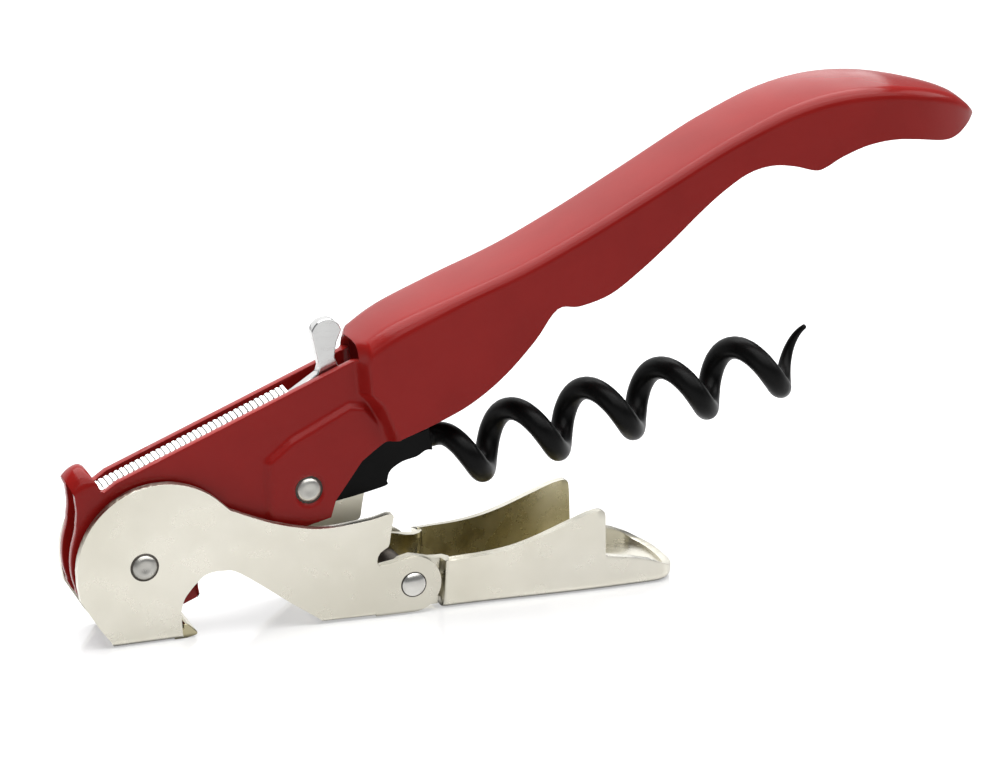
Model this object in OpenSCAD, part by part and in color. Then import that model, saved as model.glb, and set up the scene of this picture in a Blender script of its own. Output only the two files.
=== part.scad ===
// Double-hinged waiters corkscrew: folded sheet handle, foil blade, helical worm and two hinged fulcrum levers.
// Frame: +X from the lever end towards the tail of the handle, +Z up, y = 0 the plane of symmetry.
// Origin: middle of the flat underside of the second lever, on the surface that the object rests on.

/* [Pivots] */
// Distance from the rest point back to the lever pin
lever_pin_back = 50; // [48:0.5:52]
// Height of the lever pin above the resting surface
lever_pin_height = 9.5; // [9.5:0.1:9.8]
// Worm pin ahead of the lever pin
worm_pin_ahead = 20.4; // [20:0.1:20.8]
// Worm pin above the lever pin
worm_pin_above = 6.55; // [6.4:0.05:6.7]
// Hinge between the two levers, ahead of the lever pin
hinge_pin_ahead = 32.3; // [32.1:0.1:32.4]
// Height of that hinge above the resting surface
hinge_pin_height = 3.7; // [3.65:0.05:3.8]
// Radius of the rounded lug around the lever hinge
lug_r = 3.45; // [3.35:0.05:3.5]

/* [Handle sheet] */
// Sheet thickness of the folded handle
handle_sheet = 1.0; // [0.9:0.05:1.1]
// Half width over the two cheeks at the lever end
cheek_half = 2.9; // [2.8:0.05:2.95]
// Half width over the grip where it starts
grip_half_front = 5.3; // [5.25:0.05:5.4]
// Half width over the grip at its widest
grip_half = 6.6; // [6.5:0.05:6.7]
// Height of the pressed boss around the worm pin
boss_rise = 0.7; // [0.6:0.05:0.75]

/* [Blade] */
// Blade thickness
blade_t = 1.5; // [1.3:0.1:1.6]
// Middle of the blade, off the middle of the slot towards the near cheek
blade_off = 0.75; // [0.6:0.05:0.8]
// Distance of the toothed edge from the lever pin
blade_edge = 10.6; // [10:0.1:10.6]
// Number of teeth
tooth_count = 31; // [20:1:34]
// Tooth spacing along the edge
tooth_pitch = 0.77; // [0.7:0.01:0.78]

/* [Worm] */
// Diameter of the wire
wire_d = 2.7; // [2.4:0.1:2.8]
// Outer diameter of the helix
worm_d = 9.15; // [8.8:0.05:9.15]
// Advance of the helix in one turn
worm_pitch = 9.8; // [9.6:0.1:9.8]
// Turns from the root to the point
worm_turns = 5; // [4:0.5:5]
// Angle of the helix axis above horizontal, at rest
worm_angle = 8.8; // [8.5:0.1:9.5]

/* [Levers] */
// Sheet thickness of both levers
lever_sheet = 1.1; // [1.0:0.05:1.1]
// Half width inside the lugs of the first lever
step_half = 4.9; // [4.85:0.05:4.95]
// Half width over the second lever at its wall tips
channel_half = 6.6; // [6.5:0.05:6.7]
// Half width over the second lever at its nose
nose_half = 5.8; // [5.7:0.05:5.9]

/* [Pins] */
// Radius of every pin shank
shank_r = 1.2; // [1.1:0.05:1.25]
// Running clearance on the radius of every pivot hole
pivot_gap = 0.05; // [0.03:0.01:0.08]
// Radius of the pin heads
head_r = 1.55; // [1.5:0.05:1.7]
// Height of the pin heads
head_h = 0.4; // [0.3:0.05:0.45]

/* [Hidden] */
$fn = 48;

side_gap = 0.1;                                   // clearance between plates that slide on each other
lever_gap = 0.5;                                  // air between each cheek and the first lever at the lever pin
slack = 0.05;                                     // clearance under a pin head
ground = -lever_pin_height;                       // resting surface, measured from the lever pin
worm_pin_at = [worm_pin_ahead, worm_pin_above];
hinge_pin_at = [hinge_pin_ahead, ground + hinge_pin_height];
hole_r = shank_r + pivot_gap;
slot_angle = 21;                                  // slope of the blade slot above horizontal
far_out = 40;                                     // larger than any half width or height
lever_in = cheek_half + lever_gap;                // inner half width of the first lever at the lever pin
ear_out = step_half - side_gap;                   // outer half width of the ears of the second lever
boss_out = cheek_half + boss_rise;
inner_half = cheek_half - handle_sheet;           // half the gap between the cheeks

// Curve through the points p, n chords between neighbours
function curve_point(a, b, c, d, t) =
    0.5 * (2 * b + (c - a) * t + (2 * a - 5 * b + 4 * c - d) * t * t + (3 * b - a - 3 * c + d) * t * t * t);
function curve(p, n = 4) = let (last = len(p) - 1) [
    for (i = [0:last - 1]) for (k = [0:n - 1])
        curve_point(p[max(i - 1, 0)], p[i], p[i + 1], p[min(i + 2, last)], k / n),
    p[last]];
function arc(centre, r, from, to, n = 10) =
    [for (k = [0:n]) let (a = from + (to - from) * k / n) centre + r * [cos(a), sin(a)]];
function shifted(p, by) = [for (q = p) q + by];
function flipped(p) = [for (i = [len(p) - 1:-1:0]) [p[i][0], -p[i][1]]];
function both_sides(p) = concat(p, flipped(p));

// Everything below is drawn with the lever pin at [0, 0] in the side view
module at_lever_pin() translate([-lever_pin_back, 0, lever_pin_height]) children();
// A side view outline (x, z), made solid between two y values
module side(outline, y0, y1) translate([0, y1, 0]) rotate([90, 0, 0]) linear_extrude(y1 - y0) polygon(outline);
// A plan view outline (x, y), made solid at every height
module plan(outline) translate([0, 0, -2 * far_out]) linear_extrude(4 * far_out) polygon(outline);
// A round bar across the object, centred on the side view point p
module across(p, r, y0, y1) translate([p[0], y1, p[1]]) rotate([90, 0, 0]) cylinder(r = r, h = y1 - y0);
module both_walls(outline, y0, y1) {
    side(outline, y0, y1);
    side(outline, -y1, -y0);
}

// ---- handle: one sheet folded along the back, with two cheeks at the lever end ----
back_line = curve([[27.1, 22.9], [31.1, 25.3], [38.7, 28.5], [46.4, 31.7], [54, 35.3], [61.8, 39.3], [69.7, 43.5],
    [73.6, 45.4], [80, 47.8], [86.3, 48.9], [92.7, 49], [98.9, 48.2], [103, 47.1], [105.4, 45.7], [106.8, 44.1]]);
tail_under = curve([[106.9, 43.7], [105.5, 42.5], [103.3, 41.9], [101, 41.9], [97.1, 42.6], [93.5, 43], [90, 42.7],
    [86.8, 41.5], [84.8, 40.4], [83.6, 40.3], [80.5, 41.1], [77.3, 41.3], [74.3, 40.6], [71.2, 38.7], [68.2, 36.3],
    [64.5, 33], [60.7, 29.9], [57, 27.4], [53.2, 26.3], [50.6, 26.3]]);
palm_under = curve([[50.4, 26.2], [47.6, 22.6], [43.9, 18.8], [40.1, 16], [36.4, 14.2], [30.8, 12.1], [29.4, 11.2]]);
cheek_under = [[26.9, 9.4], [23.6, 4.9], [23, 2.9], [17, 1.5], [10, 1.5], [6.3, -3.6], [6.8, -4.7], [6.5, -5.1],
    [5, -5.7]];
cheek_end = curve([[-5, -6.1], [-6.4, -4.8], [-7.3, -2.9], [-7.9, 0.2], [-7.9, 3], [-7.5, 5.8], [-7.3, 7.9],
    [-7.7, 9.6], [-8.3, 10.5]]);
strap_and_notch = [[-6.3, 11.75], [-5.8, 11.3], [-5.4, 10.5], [-5.1, 9.9], [-4.8, 9.2], [-4.3, 9.1], [-2.6, 10.05]];
handle_outline = concat(strap_and_notch, [[27.09, 21.95]], back_line, tail_under, palm_under, cheek_under, cheek_end);
strap_under = [[-12, 5.6], [-5.5, 10.6], [-5.9, 13.7]];
cavity_outline = concat(strap_under, [[27.08, 30], [27.08, 21.8]],
    shifted([for (q = back_line) if (q[0] < 101) q], [0, -1.1 * handle_sheet]), [[104, 41], [104, -12], [-12, -12]]);
// Side view of the part behind the crease where the cheeks widen into the grip
grip_side = [[25.7, 60], [25.7, 17.1], [26.4, 16.1], [29.6, 9.7], [120, 9.7], [120, 60]];
grip_edge = concat([[26.4, cheek_half]], curve([[28.4, grip_half_front], [34, grip_half_front + 0.42],
    [50, grip_half - 0.65], [64, grip_half - 0.35], [78, grip_half], [86, grip_half - 0.1],
    [91.5, grip_half - 0.45], [96, grip_half - 1.2], [99.5, grip_half - 2.1], [103.1, 3.3], [105.6, 1.7],
    [107, 0.3]]));
grip_inner = concat([[25, inner_half], [27.2, inner_half], [29.2, grip_half_front - handle_sheet]],
    [for (q = grip_edge) if (q[0] > 30 && q[0] < 99) q - [0, handle_sheet]], [[102.5, 0.6]]);
boss_outline = [[17, 2.6], [15.5, 7.3], [15.3, 10.4], [18.3, 12.8], [25.5, 16.3], [27.3, 16], [29.4, 11.4],
    [26.9, 9.4], [23.6, 4.9], [23, 2.9]];
recess_r = head_r + 0.15;                         // recess in the boss around each head of the worm pin
recess_depth = head_h + 0.1;

module handle() color([0.62, 0.14, 0.13]) at_lever_pin() difference() {
    union() {
        intersection() {
            side(handle_outline, -cheek_half, cheek_half);
            plan(both_sides([[-12, cheek_half], [60, cheek_half]]));
        }
        intersection() {
            side(handle_outline, -far_out, far_out);
            side(grip_side, -far_out, far_out);
            plan(both_sides(grip_edge));
        }
        both_walls(boss_outline, cheek_half - handle_sheet / 2, boss_out);
    }
    intersection() {
        side(cavity_outline, -inner_half, inner_half);
        plan(both_sides([[-13, inner_half], [60, inner_half]]));
    }
    intersection() {
        side(cavity_outline, -far_out, far_out);
        side(shifted(grip_side, [handle_sheet, 0]), -far_out, far_out);
        plan(both_sides(grip_inner));
    }
    across([0, 0], hole_r, -far_out, far_out);
    across(worm_pin_at, hole_r, -far_out, far_out);
    across(worm_pin_at, recess_r, boss_out - recess_depth, far_out);
    across(worm_pin_at, recess_r, -far_out, recess_depth - boss_out);
}

// ---- blade: lies in the slot with its toothed edge outwards, and opens by its thumb tab ----
// A point at distance `along` the toothed edge and `below` it, from the foot of the edge above the lever pin
function blade_point(along, below) =
    (blade_edge - below) * [-sin(slot_angle), cos(slot_angle)] + along * [cos(slot_angle), sin(slot_angle)];
blade_outline = concat(
    [blade_point(0, 0), blade_point(24.2, 0), [21.7, 20], [22.1, 20.8], [21.9, 21.7], [21.2, 25.2]],
    arc([23.1, 24.9], 1.85, 165, 20, 7),
    [[24.4, 24.3], [24.3, 21.9], [25.3, 19.4], blade_point(28.6, 4.7), blade_point(25, 6.6), blade_point(13, 6.8)],
    arc([0, 0], 4.2, 40, -140, 12));
tooth_w = 0.3;

module blade() color([0.86, 0.86, 0.84]) at_lever_pin() difference() {
    side(blade_outline, -blade_off - blade_t / 2, blade_t / 2 - blade_off);
    across([0, 0], hole_r, -far_out, far_out);
    for (i = [0:tooth_count - 1]) let (at = blade_point(0.7 + i * tooth_pitch, 0))
        translate([at[0], -blade_off, at[1]]) rotate([0, -slot_angle, 0])
            cube([tooth_w, blade_t + 1, 2 * tooth_w], center = true);
}

// ---- spacers: one washer on each side of the blade, between the cheeks ----
module blade_spacers() color([0.7, 0.7, 0.7]) at_lever_pin() difference() {
    union() {
        across([0, 0], 3.4, slack - inner_half, -blade_off - blade_t / 2 - slack);
        across([0, 0], 3.4, blade_t / 2 - blade_off + slack, inner_half - slack);
    }
    across([0, 0], hole_r, -far_out, far_out);
}

// ---- worm: a wire helix with a flattened root that turns on the worm pin ----
wire_r = wire_d / 2;
coil_r = worm_d / 2 - wire_r;
coil_start = 17.3;                                 // from the worm pin to the first coil, along the helix axis
axis_drop = 1.4;                                  // helix axis below the worm pin
coil_phase = -4.7;                                // turn of the first coil about the axis, degrees
coil_steps = 20;
wire_sides = 14;
taper_turns = 0.75;
function coil_turn(i) = i / coil_steps;
function coil_angle(t) = 360 * t + coil_phase;
function coil_centre(t) = [coil_start + worm_pitch * t, -coil_r * sin(coil_angle(t)),
    coil_r * cos(coil_angle(t)) - axis_drop];
function coil_taper(t) = min(1, max(0.04, (worm_turns - t) / taper_turns));
// Ring of points around the wire at turn t: a is the outward direction, b is square to the wire and to a
function coil_ring(t) = let (
    a = [0, -sin(coil_angle(t)), cos(coil_angle(t))],
    rise = worm_pitch / (2 * PI * coil_r),
    along = [rise, -cos(coil_angle(t)), -sin(coil_angle(t))] / sqrt(1 + rise * rise),
    b = cross(along, a),
    r = wire_r * coil_taper(t))
    [for (k = [0:wire_sides - 1]) let (w = 360 * k / wire_sides) coil_centre(t) + r * (cos(w) * a + sin(w) * b)];
coil_count = worm_turns * coil_steps;
coil_points = [for (i = [0:coil_count]) each coil_ring(coil_turn(i))];
function ring_faces(i) = [for (k = [0:wire_sides - 1]) let (n = (k + 1) % wire_sides, p = i * wire_sides)
    each [[p + k, p + wire_sides + k, p + wire_sides + n], [p + k, p + wire_sides + n, p + n]]];
coil_faces = concat([[for (k = [0:wire_sides - 1]) k]],
    [for (i = [0:coil_count - 1]) each ring_faces(i)],
    [[for (k = [wire_sides - 1:-1:0]) coil_count * wire_sides + k]]);
// Flattened root, drawn with the helix axis horizontal
root_half = min(1.2, inner_half - 0.15);
root_outline = concat(
    arc([0, 0], 3.1, 270, 90, 12),
    [[8.5, 3], [14, 2.65], [16, 2.85], [coil_start + 0.35, coil_r - axis_drop + wire_r],
     [coil_start + 0.35, coil_r - axis_drop - wire_r], [16.3, -0.3], [14.2, -0.45], [12.3, -0.5], [10.7, -1.2],
     [10.1, -2.3], [9.8, -2.9], [5.7, -3.1]]);

module worm() color([0.06, 0.06, 0.06]) at_lever_pin()
    translate([worm_pin_at[0], 0, worm_pin_at[1]]) rotate([0, -worm_angle, 0]) {
        difference() {
            side(root_outline, -root_half, root_half);
            across([0, 0], hole_r, -far_out, far_out);
        }
        polyhedron(coil_points, coil_faces, convexity = 10);
    }

// ---- first lever: two plates joined by webs along the bottom, with the bottle opener and the first step ----
opener_arc = curve([[17.3, -6.4], [11.4, -2.1], [9.3, -1.5], [7.4, -1.7], [6.1, -2.7], [4.7, -4.4], [4.2, -6]]);
lug_bottom = hinge_pin_at[1] - lug_r;
first_outline = concat(
    arc([2.1, -0.3], 10.1, 176, 50, 14),
    curve([[10.3, 5.8], [15, 3.8], [19.5, 2.6], [22.4, 2.4], [24.8, 2.6], [27.3, 2.9]]),
    [[29, 3.3], [29.9, 3], [29.5, 0.8], [29.3, -0.6], [28.2, -1.3], [27.8, -2.4], [28.1, -3]],
    arc(hinge_pin_at, lug_r, 112, -90, 14),
    [[21.4, lug_bottom], [17.3, -6.4]], opener_arc,
    [[4.5, ground], [-3.6, ground], [-5.4, -7.1], [-7.6, -3.4]]);
first_plan_outer = shifted([[-12, lever_in], [3, lever_in], [10, lever_in + 0.4], [20, lever_in + 1],
    [28, step_half - 0.1], [32, step_half], [40, step_half]], [0, lever_sheet]);
first_plan_inner = shifted(first_plan_outer, [0, -lever_sheet]);
lip_outline = [[-3.6, ground], [4.8, ground], [6, -9], [6, -8.4], [5.2, -7.8], [4.5, -7.5], [4.7, -8.2],
    [4.1, ground + lever_sheet], [-3.6, ground + lever_sheet]];
web_outline = [[21.4, lug_bottom], [28, lug_bottom], [28, lug_bottom + lever_sheet], [20.6, lug_bottom + lever_sheet]];

module lever_first() color([0.83, 0.82, 0.77]) at_lever_pin() difference() {
    union() {
        intersection() {
            side(first_outline, -far_out, far_out);
            difference() {
                plan(both_sides(first_plan_outer));
                plan(both_sides(first_plan_inner));
            }
        }
        intersection() {
            union() {
                side(lip_outline, -far_out, far_out);
                side(web_outline, -far_out, far_out);
            }
            plan(both_sides(first_plan_outer));
        }
    }
    across([0, 0], hole_r, -far_out, far_out);
    across(hinge_pin_at, hole_r, -far_out, far_out);
}

// ---- second lever: narrow ears at the hinge, then a wider channel with a low nose ----
jog_start = hinge_pin_at[0] + lug_r + 0.35;
second_outline = concat(
    arc(hinge_pin_at, lug_r - 0.2, 270, 110, 12),
    curve([[33.3, -2.8], [37.7, -2.8], [41.7, -2.9], [44.7, -2.6], [47.7, -1.8], [51.2, -0.5], [54, 0.5]]),
    [[55.6, 0.85], [56.6, 0.6], [56.9, 0], [56.5, -4.9]],
    curve([[57, -5.2], [59.6, -5.8], [62, -6.6], [64.3, -7.5]]),
    [[66, -8], [66.2, -8.4], [65.9, ground + 0.4], [65.1, ground], [jog_start + 0.3, ground],
     [jog_start - 0.2, ground + 0.3]]);
second_plan_outer = [[20, ear_out], [jog_start, ear_out], [jog_start + 0.4, channel_half - 0.1], [56, channel_half],
    [63.8, nose_half], [65.5, nose_half - 0.9], [66.3, nose_half - 2.4]];
second_plan_inner = [[19, ear_out - lever_sheet], [jog_start + 1, ear_out - lever_sheet],
    [jog_start + 1.6, channel_half - 0.1 - lever_sheet], [56, channel_half - lever_sheet],
    [63.3, nose_half - lever_sheet], [64.6, nose_half - 0.8 - lever_sheet], [65.2, nose_half - 2.2 - lever_sheet]];
channel_cavity = [[19, ground - 1], [jog_start + 0.2, ground - 1], [jog_start + 0.2, ground + lever_sheet],
    [70, ground + lever_sheet], [70, 10], [19, 10]];

module lever_second() color([0.85, 0.84, 0.79]) at_lever_pin() difference() {
    intersection() {
        side(second_outline, -far_out, far_out);
        plan(both_sides(second_plan_outer));
    }
    intersection() {
        side(channel_cavity, -far_out, far_out);
        plan(both_sides(second_plan_inner));
    }
    across(hinge_pin_at, hole_r, -far_out, far_out);
}

// ---- pins: a shank with a domed head at each end, dimpled in the middle ----
module pin(p, reach) translate([p[0], 0, p[1]]) rotate([90, 0, 0]) rotate_extrude() polygon(concat(
    [[0, -reach - head_h + 0.15], [0.35, -reach - head_h + 0.05], [0.6, -reach - head_h], [head_r - 0.35, -reach - head_h],
     [head_r, -reach - head_h / 2], [head_r, -reach], [shank_r, -reach]],
    [[shank_r, reach], [head_r, reach], [head_r, reach + head_h / 2], [head_r - 0.35, reach + head_h],
     [0.6, reach + head_h], [0.35, reach + head_h - 0.05], [0, reach + head_h - 0.15]]));

module lever_pin() color([0.75, 0.74, 0.7]) at_lever_pin() pin([0, 0], lever_in + lever_sheet + slack);
module worm_pin() color([0.75, 0.74, 0.7]) at_lever_pin() pin(worm_pin_at, boss_out - recess_depth + slack);
module hinge_pin() color([0.75, 0.74, 0.7]) at_lever_pin() pin(hinge_pin_at, step_half + lever_sheet + slack);

handle();
blade();
blade_spacers();
worm();
lever_first();
lever_second();
lever_pin();
worm_pin();
hinge_pin();
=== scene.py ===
import math
import bmesh
import bpy
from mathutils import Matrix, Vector


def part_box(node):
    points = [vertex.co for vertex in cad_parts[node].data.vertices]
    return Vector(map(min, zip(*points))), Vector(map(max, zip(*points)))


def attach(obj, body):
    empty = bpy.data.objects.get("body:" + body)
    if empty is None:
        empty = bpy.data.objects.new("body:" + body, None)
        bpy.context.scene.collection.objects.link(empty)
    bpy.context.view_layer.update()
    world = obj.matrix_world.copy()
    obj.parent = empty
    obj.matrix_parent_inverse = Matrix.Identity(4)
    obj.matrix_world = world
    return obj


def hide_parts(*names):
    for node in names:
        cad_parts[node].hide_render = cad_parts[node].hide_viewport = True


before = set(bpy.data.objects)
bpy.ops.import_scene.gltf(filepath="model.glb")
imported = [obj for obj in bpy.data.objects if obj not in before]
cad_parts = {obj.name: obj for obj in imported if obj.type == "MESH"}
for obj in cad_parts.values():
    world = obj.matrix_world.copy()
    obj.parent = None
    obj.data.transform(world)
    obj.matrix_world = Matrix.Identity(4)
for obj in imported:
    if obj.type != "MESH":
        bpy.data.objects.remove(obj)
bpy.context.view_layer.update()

# Sizes are in millimetres, measured from the lever pin: x towards the tail, y across, z up.
MM = 0.001
TINY = 1e-6
FOLD_STEPS = 6
WELD_DISTANCE = 0.002
TURNED_SIDES = 48
THINNEST_SHEET = 0.06


def pin_centre(node):
    """Middle of a pin in the side view."""
    low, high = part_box(node)
    return (low.x + high.x) / 2 / MM, (low.z + high.z) / 2 / MM


def pin_reach(node):
    """Distance from the middle to the end of a pin."""
    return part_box(node)[1].y / MM


lever_pin = pin_centre("lever_pin")
worm_pin = tuple(a - b for a, b in zip(pin_centre("worm_pin"), lever_pin))
hinge_pin = tuple(a - b for a, b in zip(pin_centre("hinge_pin"), lever_pin))
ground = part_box("lever_second")[0].z / MM - lever_pin[1]


def place(x, y, z):
    """From part millimetres to the scene."""
    return Vector(((lever_pin[0] + x) * MM, y * MM, (lever_pin[1] + z) * MM))


# ---------------------------------------------------------------- curves

def along(points, x):
    """Height of a polyline of (x, value) points at x."""
    if x <= points[0][0]:
        return points[0][1]
    for a, b in zip(points, points[1:]):
        if x <= b[0]:
            return a[1] + (b[1] - a[1]) * (x - a[0]) / (b[0] - a[0])
    return points[-1][1]


def mix(a, b, t):
    """Point between a and b at share t."""
    return tuple(p + (q - p) * t for p, q in zip(a, b))


def smooth(t):
    """Eased step: 0 up to t = 0, 1 from t = 1 on."""
    t = min(1.0, max(0.0, t))
    return t * t * (3 - 2 * t)


def ease(x, start, length):
    """Eased step that begins at x = start and takes this length."""
    return smooth((x - start) / length)


def spline(p, q, r, s, t):
    """Value between q and r on a smooth curve through four neighbours."""
    linear = (r - p) * t
    square = (2 * p - 5 * q + 4 * r - s) * t * t
    cubic = (3 * q - p - 3 * r + s) * t ** 3
    return 0.5 * (2 * q + linear + square + cubic)


def rounded(points, steps):
    """Smooth curve through the points, with so many steps between neighbours."""
    out = []
    last = len(points) - 1
    for i in range(last):
        neighbours = points[max(i - 1, 0)], points[i], points[i + 1], points[min(i + 2, last)]
        for k in range(steps):
            out.append(tuple(spline(*values, k / steps) for values in zip(*neighbours)))
    return out + [tuple(points[-1])]


def arc(centre, radius, start, end, steps):
    """Points of an arc between two angles in degrees."""
    angles = [math.radians(start + (end - start) * k / steps) for k in range(steps + 1)]
    return [(centre[0] + radius * math.cos(a), centre[1] + radius * math.sin(a)) for a in angles]


def outside(point, outline):
    """Distance of a point outside a closed outline, negative inside."""
    x, z = point
    best = math.inf
    inside = False
    for (ax, az), (bx, bz) in zip(outline, outline[1:] + outline[:1]):
        dx, dz = bx - ax, bz - az
        t = max(0.0, min(1.0, ((x - ax) * dx + (z - az) * dz) / (dx * dx + dz * dz)))
        best = min(best, math.hypot(x - ax - t * dx, z - az - t * dz))
        if (az > z) != (bz > z) and x < ax + dx * (z - az) / dz:
            inside = not inside
    return -best if inside else best


# ---------------------------------------------------------------- mesh helpers

def grid_faces(bm, columns):
    """Quads between neighbouring columns of vertices, where both columns have the row."""
    for left, right in zip(columns, columns[1:]):
        for a, b, c, d in zip(left, right, right[1:], left[1:]):
            if len({a, b, c, d}) == 4:
                bm.faces.new((a, b, c, d))


def mirror_and_weld(bm):
    """Adds the far side of a near half, and joins the two along the middle."""
    made = bmesh.ops.duplicate(bm, geom=bm.verts[:] + bm.edges[:] + bm.faces[:])["geom"]
    for v in made:
        if isinstance(v, bmesh.types.BMVert):
            v.co.y = -v.co.y
    bmesh.ops.reverse_faces(bm, faces=[f for f in made if isinstance(f, bmesh.types.BMFace)])
    bmesh.ops.remove_doubles(bm, verts=bm.verts[:], dist=WELD_DISTANCE)


def face_outwards(bm):
    """Turns the whole near half so that its normals point away from the middle."""
    bm.normal_update()
    if sum(f.normal.y * f.calc_area() for f in bm.faces if f.calc_center_median().y < 0) > 0:
        bmesh.ops.reverse_faces(bm, faces=bm.faces[:])


def finish_piece(name, bm, materials, body, nodes):
    """Turns a bmesh in part millimetres into a smooth piece that rides on a body."""
    for v in bm.verts:
        v.co = place(*v.co)
    mesh = bpy.data.meshes.new(name)
    bm.to_mesh(mesh)
    bm.free()
    mesh.polygons.foreach_set("use_smooth", [True] * len(mesh.polygons))
    piece = bpy.data.objects.new(name, mesh)
    bpy.context.scene.collection.objects.link(piece)
    for material in materials:
        mesh.materials.append(material)
    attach(piece, body)
    if nodes:
        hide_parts(*nodes)
    return piece


def thicken(piece, thickness, group=None, inner=0):
    """Sheet thickness inwards: the next material goes on the sheared rims, the inner offset on the inside."""
    shell = piece.modifiers.new("sheet", "SOLIDIFY")
    shell.thickness = thickness * MM
    shell.offset = -1
    shell.use_rim = True
    shell.material_offset_rim = 1
    shell.material_offset = inner
    if group:
        shell.vertex_group = group
        shell.thickness_vertex_group = THINNEST_SHEET


def soften(piece, width, angle, segments=2):
    """Small rounded edges, with normals that keep the flats flat."""
    bevel = piece.modifiers.new("edges", "BEVEL")
    bevel.width = width * MM
    bevel.segments = segments
    bevel.limit_method = "ANGLE"
    bevel.angle_limit = math.radians(angle)
    bevel.use_clamp_overlap = True
    bevel.harden_normals = False
    flats = piece.modifiers.new("flats", "WEIGHTED_NORMAL")
    flats.keep_sharp = False
    flats.weight = 60


def slab(bm, outline, y0, y1):
    """A plate with the given side outline between two y values."""
    near = [bm.verts.new((x, y0, z)) for x, z in outline]
    far = [bm.verts.new((x, y1, z)) for x, z in outline]
    bm.faces.new(near)
    bm.faces.new(far[::-1])
    for i in range(len(outline)):
        k = (i + 1) % len(outline)
        bm.faces.new((near[k], near[i], far[i], far[k]))
    bmesh.ops.recalc_face_normals(bm, faces=bm.faces[:])


def turned(bm, centre, profile):
    """A turned shape about a cross axis: profile points are (radius, y)."""
    x, z = centre
    angles = [2 * math.pi * k / TURNED_SIDES for k in range(TURNED_SIDES)]
    rings = []
    for radius, y in profile:
        if radius < TINY:
            rings.append([bm.verts.new((x, y, z))] * TURNED_SIDES)
        else:
            circle = [(x + radius * math.cos(a), y, z + radius * math.sin(a)) for a in angles]
            rings.append([bm.verts.new(point) for point in circle])
    for one, two in zip(rings, rings[1:]):
        for k in range(TURNED_SIDES):
            n = (k + 1) % TURNED_SIDES
            corners = list(dict.fromkeys((one[k], one[n], two[n], two[k])))
            if len(corners) > 2:
                bm.faces.new(corners)
    bmesh.ops.recalc_face_normals(bm, faces=bm.faces[:])


# ---------------------------------------------------------------- materials

# Share of the noise range over which a ramp goes from its low to its high value
RAMP_START = 0.35
RAMP_END = 0.65
# Heights above rest between which the painted contact shade along the lower edges fades out, and how dark it
# starts
CONTACT_SHADE_START = 0.15
CONTACT_SHADE_END = 0.6
CONTACT_SHADE_DARKEST = 0.30
# How far the grain of a surface is stretched along the axes
EVEN = (1, 1, 1)
SHEARED = (1, 9, 1)
GROUND = (1, 1, 6)


def node_tree(name):
    """A new material with its nodes, links and main shader."""
    material = bpy.data.materials.new(name)
    material.use_nodes = True
    nodes = material.node_tree.nodes
    links = material.node_tree.links
    return material, nodes, links, nodes["Principled BSDF"]


def noise(nodes, links, scale, detail=4.0, stretch=EVEN):
    """Object space noise, stretched along the axes."""
    coords = nodes.new("ShaderNodeTexCoord")
    mapping = nodes.new("ShaderNodeMapping")
    mapping.inputs["Scale"].default_value = stretch
    texture = nodes.new("ShaderNodeTexNoise")
    texture.inputs["Scale"].default_value = scale
    texture.inputs["Detail"].default_value = detail
    links.new(coords.outputs["Object"], mapping.inputs["Vector"])
    links.new(mapping.outputs["Vector"], texture.inputs["Vector"])
    return texture.outputs["Fac"]


def ramp(nodes, links, source, low, high):
    """Maps a noise to a value or a colour between low and high."""
    node = nodes.new("ShaderNodeValToRGB")
    node.color_ramp.elements[0].position = RAMP_START
    node.color_ramp.elements[1].position = RAMP_END
    for element, value in zip(node.color_ramp.elements, (low, high)):
        element.color = (*value, 1) if isinstance(value, tuple) else (value, value, value, 1)
    links.new(source, node.inputs["Fac"])
    return node.outputs["Color"]


def bump(nodes, links, shader, source, height):
    """Surface relief of this height from a noise."""
    node = nodes.new("ShaderNodeBump")
    node.inputs["Strength"].default_value = 1.0
    node.inputs["Distance"].default_value = height * MM
    links.new(source, node.inputs["Height"])
    links.new(node.outputs["Normal"], shader.inputs["Normal"])


def painted_contact_shade(nodes, links, colour):
    """Painted contact shade: darkens a colour just above the resting plane, where the part meets the floor.
    """
    coords = nodes.new("ShaderNodeTexCoord")
    split = nodes.new("ShaderNodeSeparateXYZ")
    links.new(coords.outputs["Object"], split.inputs["Vector"])
    grow = nodes.new("ShaderNodeMapRange")
    grow.interpolation_type = "SMOOTHSTEP"
    grow.inputs["From Min"].default_value = CONTACT_SHADE_START * MM
    grow.inputs["From Max"].default_value = CONTACT_SHADE_END * MM
    grow.inputs["To Min"].default_value = CONTACT_SHADE_DARKEST
    grow.inputs["To Max"].default_value = 1
    links.new(split.outputs["Z"], grow.inputs["Value"])
    scaled = nodes.new("ShaderNodeVectorMath")
    scaled.operation = "SCALE"
    links.new(colour, scaled.inputs[0])
    links.new(grow.outputs["Result"], scaled.inputs["Scale"])
    return scaled.outputs["Vector"]


def red_paint(name, low, high):
    """Gloss enamel with a faint orange peel and uneven gloss."""
    material, nodes, links, shader = node_tree(name)
    links.new(ramp(nodes, links, noise(nodes, links, 90), low, high), shader.inputs["Base Color"])
    links.new(ramp(nodes, links, noise(nodes, links, 240), 0.17, 0.27), shader.inputs["Roughness"])
    shader.inputs["IOR"].default_value = 1.5
    shader.inputs["Specular IOR Level"].default_value = 0.16
    bump(nodes, links, shader, noise(nodes, links, 900, 2), 0.006)
    return material


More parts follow.
